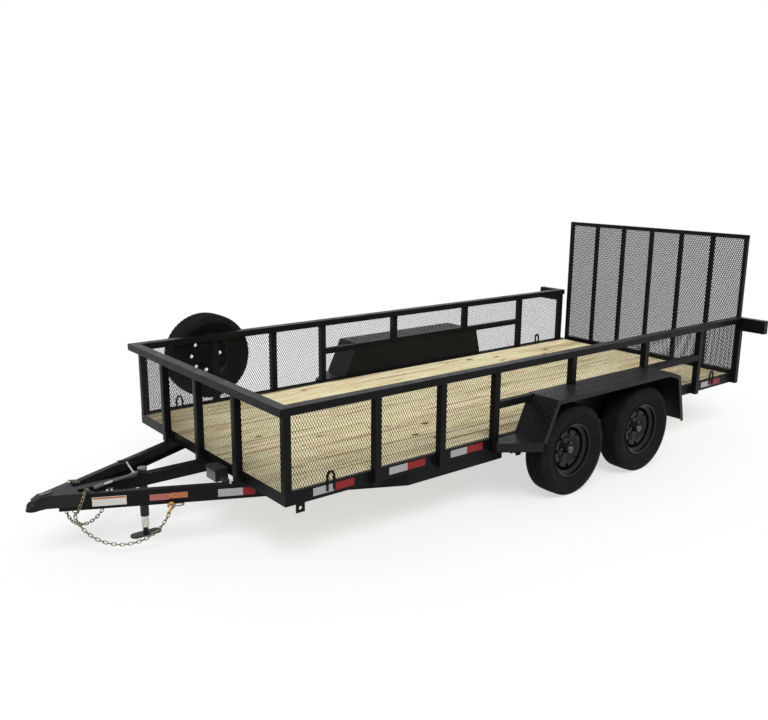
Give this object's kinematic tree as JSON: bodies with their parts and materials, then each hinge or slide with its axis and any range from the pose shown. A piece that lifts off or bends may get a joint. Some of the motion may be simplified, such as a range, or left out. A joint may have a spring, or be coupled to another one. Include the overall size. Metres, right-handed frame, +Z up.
{
  "type": "tandem axle utility trailer",
  "caption": "Open utility trailer with plank deck, expanded-mesh sides, upright mesh ramp gate, tandem axles under diamond-plate fenders, A-frame tongue, jack and side-mounted spare.",
  "frame": {"origin": "on the ground under the middle of the whole trailer's length and width", "axes": "+X forward to the coupler, +Y to the trailer's left, +Z up"},
  "size_m": [6.139, 2.64, 1.78],
  "materials": {
    "black_frame": "semi-gloss powder coat",
    "black_mesh": "satin powder coat",
    "fender_paint": "satin paint on tread plate",
    "pine": "sawn treated pine",
    "tyre_rubber": "matte",
    "rim_paint": "gloss black",
    "hub_metal": "satin",
    "axle_paint": "matte",
    "zinc_chain": "yellow zinc",
    "zinc_leg": "bright zinc",
    "crank_metal": "bright zinc",
    "black_plastic": "matte",
    "red_lens": "gloss"
  },
  "bodies": {
    "chassis": {"side_rails": "black_frame", "end_rails": "black_frame", "floor_crossmembers": "black_frame", "deck_boards": "pine", "side_posts": "black_frame", "front_posts": "black_frame", "top_rail": "black_frame", "mid_rails": "black_frame", "side_mesh": "black_mesh", "front_mesh": "black_mesh", "fenders": "fender_paint", "tongue_beams": "black_frame", "tongue_centre_tube": "black_frame", "coupler": "black_frame", "coupler_latch": "black_frame", "jack_tube": "black_frame", "jack_crank": "crank_metal", "safety_chains": "zinc_chain", "breakaway_box": "black_plastic", "lamp_boxes": "black_frame", "tail_lamps": "red_lens", "tie_downs": "black_frame", "spare_tyre": "tyre_rubber", "spare_rim": "rim_paint", "spare_mount": "black_frame", "axles": "axle_paint", "leaf_springs": "axle_paint", "spring_hangers": "axle_paint", "equalisers": "axle_paint", "gate_hinges": "black_frame"},
    "gate": {"gate_frame": "black_frame", "gate_mesh": "black_mesh"},
    "jack_leg": {"jack_leg": "zinc_leg"},
    "wheel_front_left": {"tyre_front_left": "tyre_rubber", "rim_front_left": "rim_paint", "hub_front_left": "hub_metal"},
    "wheel_front_right": {"tyre_front_right": "tyre_rubber", "rim_front_right": "rim_paint", "hub_front_right": "hub_metal"},
    "wheel_rear_left": {"tyre_rear_left": "tyre_rubber", "rim_rear_left": "rim_paint", "hub_rear_left": "hub_metal"},
    "wheel_rear_right": {"tyre_rear_right": "tyre_rubber", "rim_rear_right": "rim_paint", "hub_rear_right": "hub_metal"}
  },
  "joints": [
    {"name": "front_left_wheel_spin", "type": "hinge", "parent": "chassis", "child": "wheel_front_left", "pos_m": [-0.4205, 1.1825, 0.344], "axis": [0, 1, 0], "continuous": true},
    {"name": "front_right_wheel_spin", "type": "hinge", "parent": "chassis", "child": "wheel_front_right", "pos_m": [-0.4205, -1.1825, 0.344], "axis": [0, 1, 0], "continuous": true},
    {"name": "rear_left_wheel_spin", "type": "hinge", "parent": "chassis", "child": "wheel_rear_left", "pos_m": [-1.2605, 1.1825, 0.344], "axis": [0, 1, 0], "continuous": true},
    {"name": "rear_right_wheel_spin", "type": "hinge", "parent": "chassis", "child": "wheel_rear_right", "pos_m": [-1.2605, -1.1825, 0.344], "axis": [0, 1, 0], "continuous": true},
    {"name": "gate_hinge", "type": "hinge", "parent": "chassis", "child": "gate", "pos_m": [-3.0505, 0, 0.462], "axis": [0, -1, 0], "range_deg": [0, 105]},
    {"name": "jack_slide", "type": "slide", "parent": "chassis", "child": "jack_leg", "axis": [0, 0, 1], "range_m": [0, 0.06]}
  ]
}
